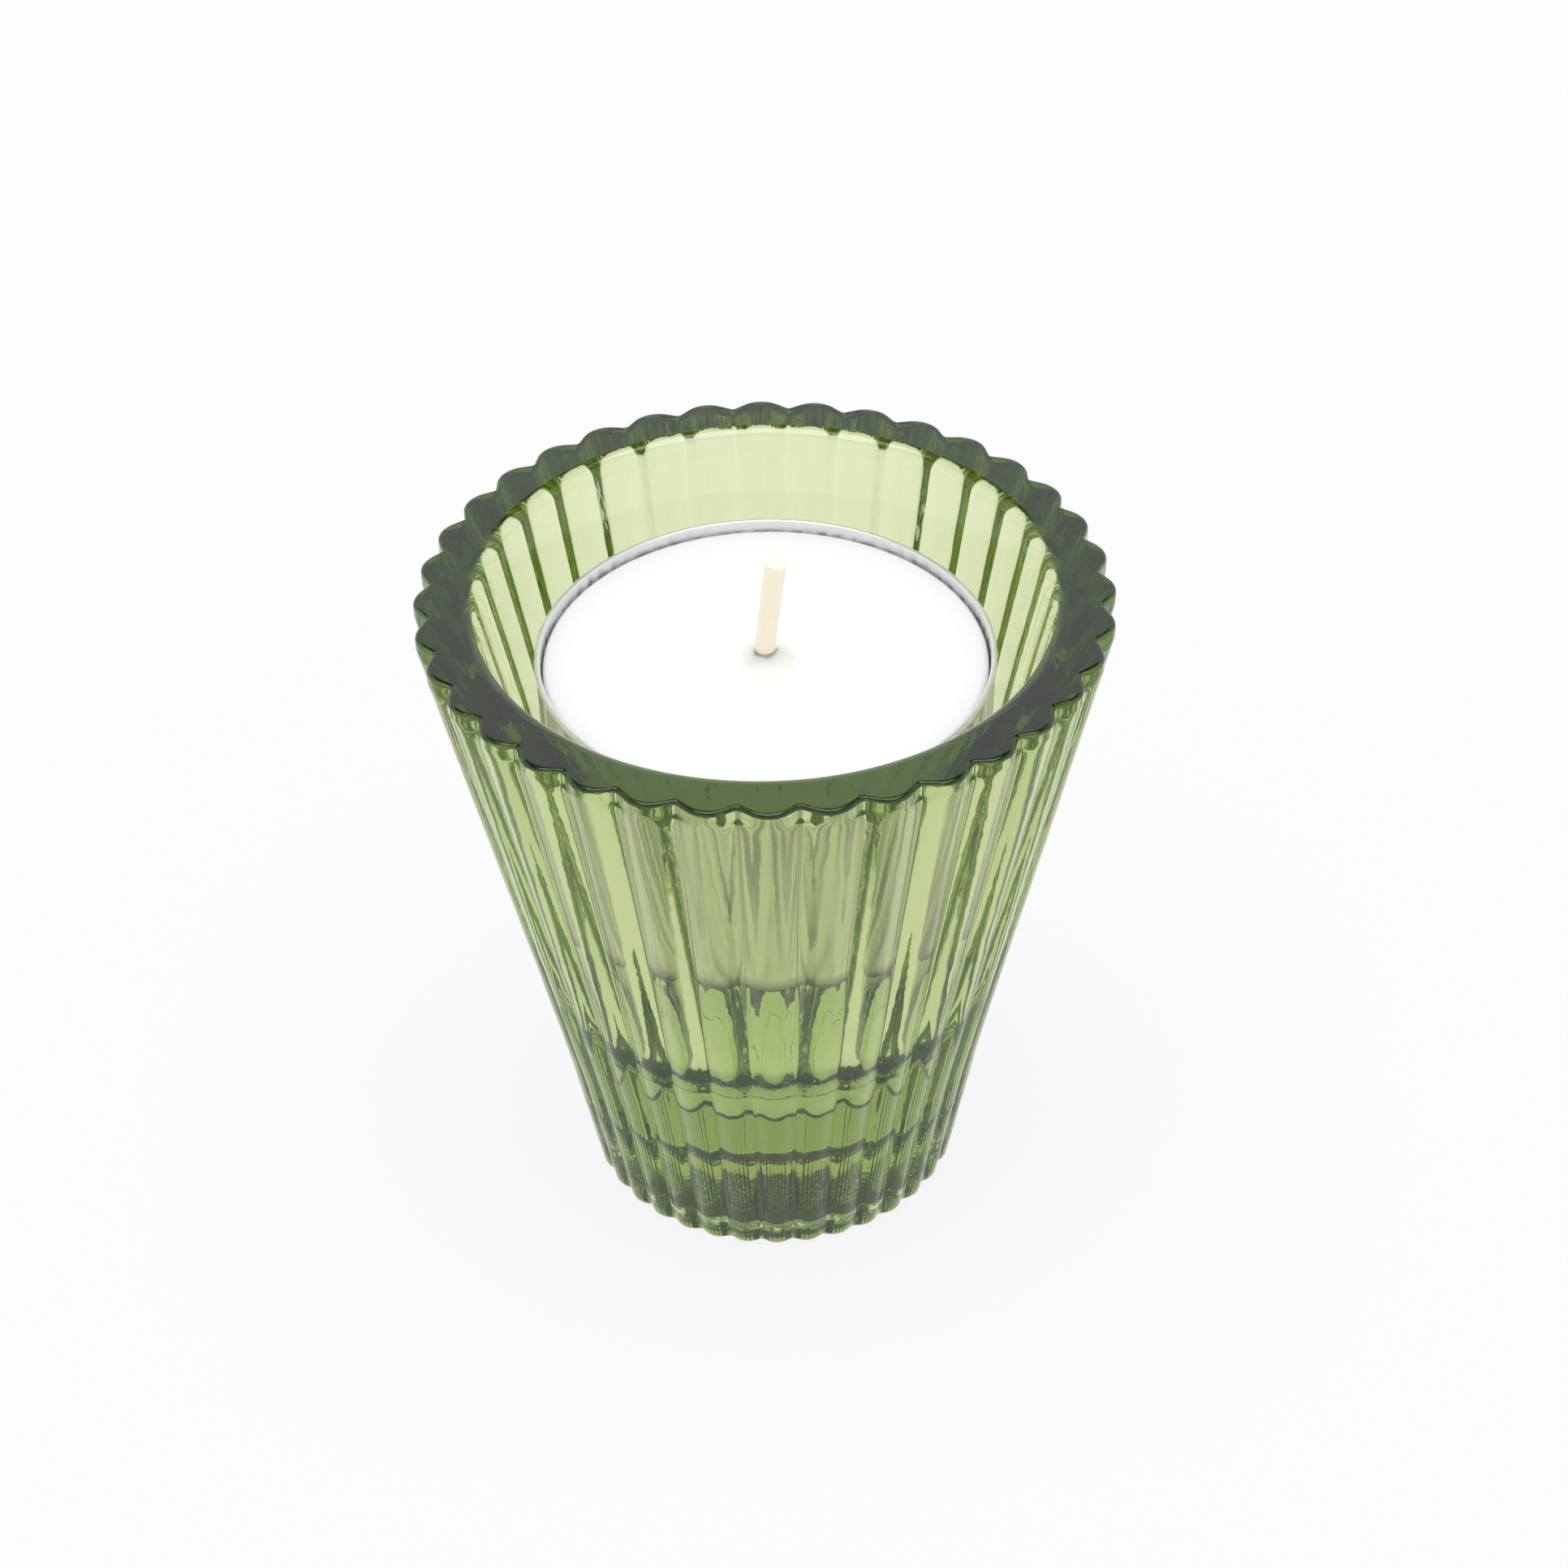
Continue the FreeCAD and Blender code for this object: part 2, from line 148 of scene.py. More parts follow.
def skin(name, rings, loop=False):
    """A closed mesh over rings of points, which run anticlockwise seen from above.

    The rings go from the middle of the underside outwards, up and over. A loop joins its last
    ring to its first; any other skin closes each end on its ring's middle.
    """
    count = len(rings[0])
    points = [point for ring in rings for point in ring]
    last = len(rings) if loop else len(rings) - 1
    faces = []
    for row in range(last):
        low, high = row * count, (row + 1) % len(rings) * count
        for column in range(count):
            after = (column + 1) % count
            faces.append((low + column, low + after, high + after, high + column))
    if not loop:
        for ring, start, turned in ((rings[0], 0, True), (rings[-1], last * count, False)):
            middle = len(points)
            points.append(sum(ring, Vector()) / count)
            for column in range(count):
                edge = (start + column, start + (column + 1) % count)
                faces.append((middle, *(edge[::-1] if turned else edge)))
    mesh = bpy.data.meshes.new(name)
    mesh.from_pydata(points, [], faces)
    mesh.polygons.foreach_set("use_smooth", [True] * len(faces))
    mesh.update()
    piece = bpy.data.objects.new(name, mesh)
    bpy.context.scene.collection.objects.link(piece)
    return piece


def round_ring(radius, height, count, shift=None):
    """A level ring, where shift moves each point once it is placed."""
    ring = []
    for column in range(count):
        angle = 2 * math.pi * column / count
        point = Vector((radius * math.cos(angle), radius * math.sin(angle), height))
        ring.append(shift(point) if shift else point)
    return ring


def outwards(point):
    """The level direction from the axis to a point."""
    flat = Vector((point.x, point.y, 0))
    return flat.normalized() if flat.length > 1e-9 else Vector()


def wave(point, wavelength, height, seed):
    """A smooth random height, where wavelength is one length or one for each axis."""
    scaled = [p / w for p, w in zip(point, wavelength)]
    return height * noise.noise(Vector(scaled) + Vector((seed, -seed, 2 * seed)))


def dress(piece, node, material):
    """Gives a rebuilt piece its material and its moving body, and hides the CAD node it stands in for.
    """
    piece.data.materials.append(material)
    body = next(name for name, members in bodies().items() if node in members)
    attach(piece, body)
    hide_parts(node)


def bodies():
    """The moving bodies, each with the CAD nodes that belong to it."""
    return frame["record"]["behaviour"]["bodies"]


# ---- the glass holder -----------------------------------------------------------------------


class HolderSettings(PropertyGroup):
    """The pressed glass holder."""

    rib_count: IntProperty(name="Ribs", description="Ribs round the holder", default=36, min=3)
    flank_angle: FloatProperty(
        name="Flank angle",
        description="How steeply a rib's flanks fall off",
        default=math.radians(37.0),
        subtype="ANGLE",
    )
    rib_crest_round: length("Crest round", 2.4, "Radius of a rib's crest at the rim")
    rib_valley_round: length("Valley round", 0.5, "Radius of a valley at the rim")
    body_ribs: FloatProperty(
        name="Body ribs", description="Depth of the body's ribs as a share of the band's", default=0.75
    )
    band_step: length("Band step", 0.5, "Height over which the ribs deepen into the band")
    rim_band: length("Rim band", 1.2, "Upright band round the rim")
    rim_round: length("Rim round", 0.4, "Rim to its band")
    lip_round: length("Lip round", 1.3, "Bore to rim")
    wall: length("Wall", 5.25, "Level distance from a rib's crest to the bore")
    knee_height: length("Knee height", 14.0, "Where the lower, steeper wall ends")
    knee_radius: length("Knee radius", 19.1, "Rib crests at the knee")
    foot_radius: length("Foot radius", 16.4, "Rib crests where the wall's line meets the foot")
    foot_round: length("Foot round", 0.8, "Foot to rib crests")
    floor: length("Floor", 13.0, "Solid glass below the bore")
    floor_round: length("Floor round", 14.0, "Bore's floor to its wall")
    recess_radius: length("Recess radius", 11.0, "Hollow under the foot")
    recess_depth: length("Recess depth", 0.6, "Hollow under the foot")
    wander: length("Wander", 0.05, "How far the pressed walls stray from true")
    ripple: length("Ripple", 0.024, "Height of the chill ripples on the ribs")
    fine_ripple: length("Fine ripple", 0.014, "Height of the finest ripples, which are bump only")
    tint_depth: length("Tint depth", 10.0, "Thickness of glass that gives the tint")
    tint: colour("Tint", "#D4DEB4", "What white light turns to through the tint depth")
    skin_tint: colour("Skin tint", "#FAFFE6", "What white light turns to through the two faces")


def rib_outline(settings):
    """One rib's (x, y) points at the rim, from its crest's middle to short of the next one's."""
    crest_round, valley_round = settings.rib_crest_round, settings.rib_valley_round
    half_pitch = math.pi / settings.rib_count
    flank_angle = settings.flank_angle
    outer = Vector((math.cos(flank_angle), math.sin(flank_angle)))
    crest_centre = Vector((holder_high.x - crest_round, 0))
    flank_start = crest_centre + outer * crest_round
    along = Vector((-outer.y, outer.x))
    towards_valley = Vector((math.cos(half_pitch), math.sin(half_pitch)))
    beside_valley = Vector((-towards_valley.y, towards_valley.x))
    gap = valley_round * math.sin(flank_angle - half_pitch)
    run = (-gap - flank_start.dot(beside_valley)) / along.dot(beside_valley)
    flank_end = flank_start + along * run
    valley_centre = flank_end + outer * valley_round

    turned = math.degrees(flank_angle)
    half = [Vector(p) for p in arc(crest_centre, crest_round, 0, turned, 4)]
    inner_end = math.degrees(half_pitch) - 180
    half += [Vector(p) for p in arc(valley_centre, valley_round, turned - 180, inner_end, 3)]
    mirrored = [towards_valley * (2 * p.dot(towards_valley)) - p for p in half[-2:0:-1]]
    return half + mirrored


def holder_profile(settings):
    """(radius, height, ribs) from the middle of the foot, up the ribs and down the bore.

    The radius is that of the ribs' crests, where ribs says how much of their depth is cut, and
    of a plain circle where it is 0. The step counts only set how fine the mesh is.
    """
    height, rim_radius = holder_high.z, holder_high.x
    band_height = height - settings.rim_band
    slope = (rim_radius - settings.knee_radius) / (band_height - settings.knee_height)
    lean = math.degrees(math.atan(slope))
    secant = math.hypot(1, slope)

    def bore_radius(level):
        return rim_radius - settings.wall - slope * (band_height - level)

    depth, recess = settings.recess_depth, settings.recess_radius
    under = [(recess * share, depth) for share in (0.02, 0.3, 0.6)]
    under += arc((recess - depth, 0), depth, 90, 60, 2)
    under += arc((recess + depth * 0.4, depth * 0.4), depth * 0.4, 240, 270, 2)

    foot = settings.foot_round
    lower_slope = (settings.knee_radius - settings.foot_radius) / settings.knee_height
    lower_lean = math.degrees(math.atan(lower_slope))
    foot_centre = settings.foot_radius + lower_slope * foot - math.hypot(1, lower_slope) * foot
    outside = arc((foot_centre, foot), foot, -90, -lower_lean, 5)
    knee = (settings.knee_radius, settings.knee_height)
    band = (rim_radius, band_height)
    step = settings.band_step
    step_foot = (rim_radius - slope * step, band_height - step)
    outside += walls(outside[-1], knee, 18) + [knee] + walls(knee, step_foot, 56) + [step_foot]
    outside += walls(step_foot, band, 3) + [band]
    rim = settings.rim_round
    edge = arc((rim_radius - rim, height - rim), rim, 0, 90, 5)
    outside += walls(outside[-1], edge[0], 4) + edge

    lip = settings.lip_round
    lip_centre = (bore_radius(height - lip) + secant * lip, height - lip)
    bore = arc(lip_centre, lip, 90, 180 - lean, 5)
    turn = settings.floor_round
    floor = settings.floor
    floor_centre = (bore_radius(floor + turn) - secant * turn, floor + turn)
    corner = arc(floor_centre, turn, -lean, -90, 8)
    bore += walls(bore[-1], corner[0], 26) + corner
    bore += [(corner[-1][0] * share, floor) for share in (0.8, 0.5, 0.25, 0.02)]

    profile = [(*point, 0) for point in under]
    profile += stretch(profile[-1], (foot_centre, 0, 1), 5)
    profile += [(*point, rib_share(settings, point[1])) for point in outside]
    profile += stretch(profile[-1], (*bore[0], 0), 9)
    return profile + [(*point, 0) for point in bore]


def rib_share(settings, level):
    """How deep the ribs are at a level: full in the rim's band, shallower down the body."""
    step_foot = holder_high.z - settings.rim_band - settings.band_step
    into_band = min(1.0, max(0.0, (level - step_foot) / settings.band_step))
    return settings.body_ribs + (1 - settings.body_ribs) * into_band


def walls(start, end, steps):
    """Evenly spaced points between two ends, without the ends."""
    shares = [step / steps for step in range(1, steps)]
    return [tuple(a + (b - a) * share for a, b in zip(start, end)) for share in shares]


def build_holder(settings):
    """The holder's skin, with the wander and the patchy ripples that pressing leaves."""
    wander_lengths = [9 * MM, 9 * MM, 14 * MM]
    ripple_lengths = [1.1 * MM, 1.1 * MM, 1.9 * MM]
    patch_lengths = [8 * MM, 8 * MM, 12 * MM]
    true_foot = 3 * MM
    pitch = 2 * math.pi / settings.rib_count
    outline = rib_outline(settings)
    rings = []
    for radius, level, ribs in holder_profile(settings):
        ring = []
        for rib in range(settings.rib_count):
            for corner in outline:
                reach = corner.length / outline[0].length
                spread = radius * (1 - ribs * (1 - reach))
                angle = rib * pitch + math.atan2(corner.y, corner.x)
                point = Vector((spread * math.cos(angle), spread * math.sin(angle), level))
                shift = wave(point, wander_lengths, settings.wander, 3.1)
                chill = 1 + wave(point, patch_lengths, 1.6, 5.9)
                shift += ribs * chill * wave(point, ripple_lengths, settings.ripple, 7.7)
                ring.append(point + outwards(point) * shift * min(1, level / true_foot))
        rings.append(ring)
    return skin("holder_pressed_glass", rings)


def make_pressed_glass(settings):
    """Green soda-lime glass, pressed in an iron mould and fire polished.

    The eye sees a clear, glossy body that darkens where light runs along the wall, and a
    fine chill ripple where the hot glass met the mould.
    """
    material, output = new_material("soda_lime_glass_pressed_green")
    tree = material.node_tree
    place = add_node(tree, "ShaderNodeTexCoord").outputs["Object"]
    flow = add_node(tree, "ShaderNodeMapping", {"Vector": place, "Scale": (1, 1, 0.45)})
    ripple = add_node(
        tree,
        "ShaderNodeTexNoise",
        {"Vector": flow.outputs["Vector"], "Scale": 1 / (1.1 * MM), "Detail": 2.0},
    )
    bump = add_node(
        tree,
        "ShaderNodeBump",
        {"Height": ripple.outputs["Fac"], "Strength": 1.0, "Distance": settings.fine_ripple},
    )
    glass = add_node(
        tree,
        "ShaderNodeBsdfPrincipled",
        {
            "Base Color": [*settings.skin_tint, 1],
            "Roughness": 0.0,
            "IOR": 1.52,
            "Transmission Weight": 1.0,
            "Normal": bump.outputs["Normal"],
        },
    )
    fading = [-math.log(channel) / settings.tint_depth for channel in settings.tint]
    density = max(fading)
    absorption = add_node(
        tree,
        "ShaderNodeVolumeAbsorption",
        {"Color": [1 - f / density for f in fading] + [1], "Density": density},
    )
    tree.links.new(glass.outputs["BSDF"], output.inputs["Surface"])
    tree.links.new(absorption.outputs["Volume"], output.inputs["Volume"])
    return material


class TEALIGHT_OT_holder(Operator):
    """Build the ribbed glass holder"""

    bl_idname = "tealight.holder"
    bl_label = "Glass holder"

    def execute(self, context):
        settings = context.scene.tealight_holder
        holder = build_holder(settings)
        dress(holder, "glass_holder", make_pressed_glass(settings))
        return {"FINISHED"}


# ---- the candle's cup ---------------------------------------------------------------------


class CupSettings(PropertyGroup):
    """The drawn aluminium cup."""

    sheet: length("Sheet", 0.2, "Thickness of the aluminium")
    corner: length("Corner", 1.2, "Cup's foot to its wall")
    foot_radius: length("Foot radius", 18.7, "Outside of the wall at the cup's foot")
    bead: length("Bead", 0.25, "Radius of the rolled rim's section")
    bead_wrinkle: length("Bead wrinkle", 0.03, "How far the rolled rim wanders")
    wall_dent: length("Wall dent", 0.10, "How far the soft wall strays from round")
    flute_count: IntProperty(name="Flutes", description="Draw flutes round the wall", default=80, min=3)
    flute_depth: length("Flute depth", 0.2, "How deep the draw flutes are")
    aluminium: colour("Aluminium", "#E6E7E8", "Bare aluminium")
    # This dull colour serves two marks: the draw streaks, and painted shade in the dark band round the
    # cup's foot.
    streak_and_shade_aluminium: colour("Dull aluminium", "#5E605F", "Draw streaks and the shaded corner")


def cup_profile(settings):
    """(radius, height) from the middle of the underside, up the outside and down the inside.

    Two shallow rings pressed into the underside stiffen it.
    """
    low, high = cup_low.z, cup_high.z
    sheet, corner, bead = settings.sheet, settings.corner, settings.bead
    foot = settings.foot_radius
    bead_centre = (cup_high.x - bead, high - bead)
    mouth = cup_high.x - 2 * bead
    reach = bead - sheet
    under_bead = high - bead - math.sqrt(bead * bead - reach * reach)
    start = math.degrees(math.atan2(under_bead - bead_centre[1], -reach))

    outside = [(0.0004, low), (3 * MM, low), (3.3 * MM, low + 0.2 * MM), (9 * MM, low + 0.2 * MM)]
    outside += [(9.4 * MM, low), (14 * MM, low), (14.5 * MM, low + 0.15 * MM)]
    outside += [(15.5 * MM, low + 0.15 * MM), (16 * MM, low)]
    outside += arc((foot - corner, low + corner), corner, -90, 0, 5)
    outside += walls(outside[-1], (mouth + sheet, under_bead), 24)
    outside += arc(bead_centre, bead, start, 180, 14)
    inner_corner = arc((foot - corner, low + corner), corner - sheet, 0, -90, 4)
    inside = walls((mouth, bead_centre[1]), inner_corner[0], 12) + inner_corner
    floor = low + sheet
    inside += [(14 * MM, floor), (9 * MM, floor + 0.05 * MM), (3 * MM, floor), (0.0004, floor)]
    return outside + inside


def build_cup(settings):
    """The cup's skin, fluted by the draw and a little out of round, as thin sheet is."""
    span = cup_high.z - cup_low.z
    waves_round = 21
    columns_per_flute = 6

    def shift(point):
        up = (point.z - cup_low.z) / span
        out = outwards(point)
        dent = wave(point, [11 * MM, 11 * MM, 9 * MM], settings.wall_dent, 5.2) * up * (1 - up)
        around = out * waves_round
        wrinkle = wave(around, [1, 1, 1], settings.bead_wrinkle, 1.9) * up**6
        level = wave(around, [3, 3, 1], settings.bead_wrinkle, 9.4) * up**6
        turn = settings.flute_count * math.atan2(point.y, point.x)
        strength = 0.7 + wave(around, [6, 6, 1], 0.9, 6.3)
        flute = settings.flute_depth * strength * (0.5 - 0.5 * math.cos(turn))
        flute *= min(1, max(0, up - 0.08) / 0.12) * min(1, (1 - up) / 0.08)
        return point + out * (dent + flute + min(0, wrinkle)) + Vector((0, 0, min(0, level)))

    count = settings.flute_count * columns_per_flute
    rings = [round_ring(radius, level, count, shift) for radius, level in cup_profile(settings)]
    return skin("cup_drawn_aluminium", rings)


def make_drawn_aluminium(settings):
    """Soft aluminium sheet, drawn through a die.

    The eye sees a bright grey metal with blurred reflections and duller upright draw streaks;
    a dark band of painted shade round its foot stands for the shadow where it sits in the glass.
    """
    line_width, streak_width = 0.3 * MM, 0.9 * MM
    material, output = new_material("aluminium_sheet_drawn")
    tree = material.node_tree
    place = add_node(tree, "ShaderNodeTexCoord").outputs["Object"]
    drawn = add_node(tree, "ShaderNodeMapping", {"Vector": place, "Scale": (1, 1, 0.02)})
    lines = add_node(
        tree,
        "ShaderNodeTexNoise",
        {"Vector": drawn.outputs["Vector"], "Scale": 1 / line_width, "Detail": 4.0},
    )
    roughness = add_node(
        tree,
        "ShaderNodeMapRange",
        {"Value": lines.outputs["Fac"], "To Min": 0.26, "To Max": 0.44},
    )
    bump = add_node(
        tree,
        "ShaderNodeBump",
        {"Height": lines.outputs["Fac"], "Strength": 0.5, "Distance": 0.01 * MM},
    )
    streaks = add_node(
        tree,
        "ShaderNodeTexNoise",
        {"Vector": drawn.outputs["Vector"], "Scale": 1 / streak_width, "Detail": 3.0},
    )
    polish = add_node(
        tree,
        "ShaderNodeMapRange",
        {"Value": streaks.outputs["Fac"], "From Min": 0.36, "From Max": 0.56, "To Min": 0.3},
    )
    height = add_node(tree, "ShaderNodeSeparateXYZ", {"Vector": place})
    # Painted shade: the colour darkens to the dull colour towards the foot corner, for the shadow where
    # the cup sits in the glass.
    corner = add_node(
        tree,
        "ShaderNodeMapRange",
        {
            "Value": height.outputs["Z"],
            "From Min": cup_low.z + 0.6 * settings.corner,
            "From Max": cup_low.z + 1.6 * settings.corner,
            "To Min": 0.15,
        },
    )
    rim = add_node(
        tree,
        "ShaderNodeMapRange",
        {
            "Value": height.outputs["Z"],
            "From Min": cup_high.z - 6 * settings.bead,
            "From Max": cup_high.z - 3 * settings.bead,
        },
    )
    clean = add_node(
        tree,
        "ShaderNodeMath",
        {0: polish.outputs["Result"], 1: rim.outputs["Result"]},
        operation="MAXIMUM",
    )
    bright = add_node(
        tree,
        "ShaderNodeMath",
        {0: clean.outputs["Value"], 1: corner.outputs["Result"]},
        operation="MULTIPLY",
    )
    shade = add_node(
        tree,
        "ShaderNodeMix",
        {
            "Factor": bright.outputs["Value"],
            "A": [*settings.streak_and_shade_aluminium, 1],
            "B": [*settings.aluminium, 1],
        },
        data_type="RGBA",
    )
    metal = add_node(
        tree,
        "ShaderNodeBsdfPrincipled",
        {
            "Base Color": shade.outputs["Result"],
            "Metallic": 1.0,
            "Roughness": roughness.outputs["Result"],
            "Normal": bump.outputs["Normal"],
        },
    )
    tree.links.new(metal.outputs["BSDF"], output.inputs["Surface"])
    return material


class TEALIGHT_OT_cup(Operator):
    """Build the candle's aluminium cup"""

    bl_idname = "tealight.cup"
    bl_label = "Candle cup"

    def execute(self, context):
        settings = context.scene.tealight_cup
        dress(build_cup(settings), "candle_cup", make_drawn_aluminium(settings))
        return {"FINISHED"}


# ---- the wax --------------------------------------------------------------------------------


class WaxSettings(PropertyGroup):
    """The poured wax."""

    foot_corner: length("Foot corner", 1.0, "Underside to wall")
    foot_inset: length("Foot inset", 0.3, "How much slimmer the wax is at its foot")
    edge_round: length("Edge round", 0.5, "Wax's upper edge")
    collar_radius: length("Collar radius", 2.4, "Raised wax round the wick")
    collar_height: length("Collar height", 1.2, "Raised wax round the wick")
    swell: length("Swell", 0.06, "How far the cooled top is off level")
    wick_clearance: length("Wick clearance", 0.02, "Wax to the wick and to its tab")
    wax: colour("Wax", "#FBFAF8", "Paraffin wax")
    warm_wax: colour("Warm wax", "#FAF5EA", "Thin wax that the wick shows through")


def build_wax(settings):
    """The wax's skin, with a collar that climbs the wick and a slightly uneven top."""
    low = wax_low.z
    top = wax_high.z - settings.collar_height
    corner, edge = settings.foot_corner, settings.edge_round
    foot = wax_high.x - settings.foot_inset
    hole = wick_radius() + settings.wick_clearance
    tab_edge = tab_high.x + settings.wick_clearance
    tab_room = low + 0.27 * MM
    neck = hole + 0.27 * MM
    neck_room = tab_high.z + settings.wick_clearance

    profile = [(tab_edge, low), (tab_edge + 0.1 * MM, low), (foot - corner - 1 * MM, low)]
    profile += arc((foot - corner, low + corner), corner, -90, 0, 5)
    edge_arc = arc((wax_high.x - edge, top - edge), edge, 0, 90, 6)
    profile += walls(profile[-1], edge_arc[0], 12) + edge_arc
    surface = len(profile)
    profile += stretch(edge_arc[-1], (hole, top), 60)
    inside = [(hole, wax_high.z - 0.1 * MM), (hole, neck_room), (neck, neck_room)]
    inside += [(neck, tab_room), (tab_edge, tab_room)]
    last = surface + 59

    def shift(point):
        distance = math.hypot(point.x, point.y)
        angle = math.atan2(point.y, point.x)
        lumps = 0.14 * noise.noise(Vector((1.5 * math.cos(angle), 1.5 * math.sin(angle), 4.4)))
        reach = (distance - hole) / (settings.collar_radius * (1 + lumps) - hole)
        collar = max(0.0, 1 - reach) ** 1.6 * settings.collar_height * (0.8 + lumps)
        swell = wave(point, [9 * MM, 9 * MM, 1], settings.swell, 2.6)
        grain = wave(point, [1.1 * MM, 1.1 * MM, 1], settings.swell * 0.12, 8.8)
        fade = min(1.0, (wax_high.x - distance) / (2 * MM))
        return point + Vector((0, 0, collar + (swell + grain) * fade))

    rings = []
    for number, (radius, level) in enumerate(profile + inside):
        on_top = surface - 1 <= number < last
        rings.append(round_ring(radius, level, 192, shift if on_top else None))
    return skin("wax_poured", rings, loop=True)


def make_paraffin_wax(settings):
    """White paraffin wax, poured and left to set.

    The eye sees a soft white that light sinks into, with a dull sheen and no hard shadow.
    """
    material, output = new_material("paraffin_wax_poured")
    tree = material.node_tree
    place = add_node(tree, "ShaderNodeTexCoord").outputs["Object"]
    level = add_node(tree, "ShaderNodeMapping", {"Vector": place, "Scale": (1, 1, 0)})
    distance = add_node(
        tree, "ShaderNodeVectorMath", {"Vector": level.outputs["Vector"]}, operation="LENGTH"
    )
    near_wick = add_node(
        tree,
        "ShaderNodeMapRange",
        {
            "Value": distance.outputs["Value"],
            "From Min": 1.2 * MM,
            "From Max": 4.5 * MM,
            "To Min": 1.0,
            "To Max": 0.0,
        },
        interpolation_type="SMOOTHSTEP",
    )
    shade = add_node(
        tree,
        "ShaderNodeMix",
        {
            "Factor": near_wick.outputs["Result"],
            "A": [*settings.wax, 1],
            "B": [*settings.warm_wax, 1],
        },
        data_type="RGBA",
    )
    grain = add_node(
        tree,
        "ShaderNodeTexNoise",
        {"Vector": place, "Scale": 1 / (0.7 * MM), "Detail": 3.0},
    )
    bump = add_node(
        tree,
        "ShaderNodeBump",
        {"Height": grain.outputs["Fac"], "Strength": 0.4, "Distance": 0.02 * MM},
    )
    wax = add_node(
        tree,
        "ShaderNodeBsdfPrincipled",
        {
            "Base Color": shade.outputs["Result"],
            "Roughness": 0.42,
            "IOR": 1.44,
            "Subsurface Weight": 1.0,
            "Subsurface Radius": (1.0, 0.9, 0.8),
            "Subsurface Scale": 2.0 * MM,
            "Normal": bump.outputs["Normal"],
        },
    )
    tree.links.new(wax.outputs["BSDF"], output.inputs["Surface"])
    return material


class TEALIGHT_OT_wax(Operator):
    """Build the poured wax"""

    bl_idname = "tealight.wax"
    bl_label = "Wax"

    def execute(self, context):
        settings = context.scene.tealight_wax
        dress(build_wax(settings), "wax_fill", make_paraffin_wax(settings))
        return {"FINISHED"}


# ---- the wick and its tab ---------------------------------------------------------------------


class WickSettings(PropertyGroup):
    """The braided wick and its stamped tab."""

    lean: FloatProperty(
        name="Lean",
        description="How far the free end is off upright",
        default=math.radians(7.0),
        subtype="ANGLE",
    )
    bend_radius: length("Bend radius", 9.0, "Where the wick starts to lean")
    strand_pitch: length("Strand pitch", 2.6, "Height of one turn of a strand")
    strand_relief: length("Strand relief", 0.05, "How far a strand stands out")
    cotton: colour("Cotton", "#F3EADC", "Bleached cotton, soaked in wax")
    steel: colour("Steel", "#B9BABB", "Tinned steel")


def wick_radius():
    """The wick's own radius: its box is widened by its lean, but not across it."""
    return wick_high.y


def wick_line(settings, steps):
    """(middle, lean) up the wick: upright in the wax, then round the bend, then straight."""
    bend_start = wax_high.z
    bend_rise = settings.bend_radius * math.sin(settings.lean)
    stations = []
    for step in range(steps + 1):
        level = wick_low.z + (wick_high.z - wick_low.z) * step / steps
        rise = level - bend_start
        if rise <= 0:
            stations.append((Vector((0, 0, level)), 0.0))
        elif rise < bend_rise:
            lean = math.asin(rise / settings.bend_radius)
            across = settings.bend_radius * (1 - math.cos(lean))
            stations.append((Vector((across, 0, level)), lean))
        else:
            across = settings.bend_radius * (1 - math.cos(settings.lean))
            across += (rise - bend_rise) * math.tan(settings.lean)
            stations.append((Vector((across, 0, level)), settings.lean))
    return stations


def braid(angle, height, pitch):
    """From 0 to 1: how proud the nearer of two crossing sets of four strands is."""
    proud = 0.0
    for hand in (1, -1):
        turn = 4 * angle / (2 * math.pi) + hand * height / pitch * 4
        across = turn % 1.0
        crossing = 4 * angle / (2 * math.pi) - hand * height / pitch * 4
        over = 0.5 + 0.5 * math.cos(math.pi * (crossing + math.floor(turn)))
        proud = max(proud, math.sqrt(max(0.0, 1 - (2 * across - 1) ** 2)) * (0.35 + 0.65 * over))
    return proud


def build_wick(settings):
    """A round braid of crossing strands, cut off square at its free end."""
    radius = wick_radius()
    rings = []
    stations = wick_line(settings, 260)
    for middle, lean in stations:
        tilt = Matrix.Rotation(lean, 3, "Y")
        ring = []
        for column in range(64):
            angle = 2 * math.pi * column / 64
            proud = braid(angle, middle.z, settings.strand_pitch)
            reach = radius - settings.strand_relief * (1 - proud)
            ring.append(middle + tilt @ Vector((math.cos(angle), math.sin(angle), 0)) * reach)
        rings.append(ring)
    end, lean = stations[-1]
    for share in (0.9, 0.6, 0.3):
        rings.append([end.lerp(point, share) for point in rings[len(stations) - 1]])
    return skin("wick_braided_cotton", rings)


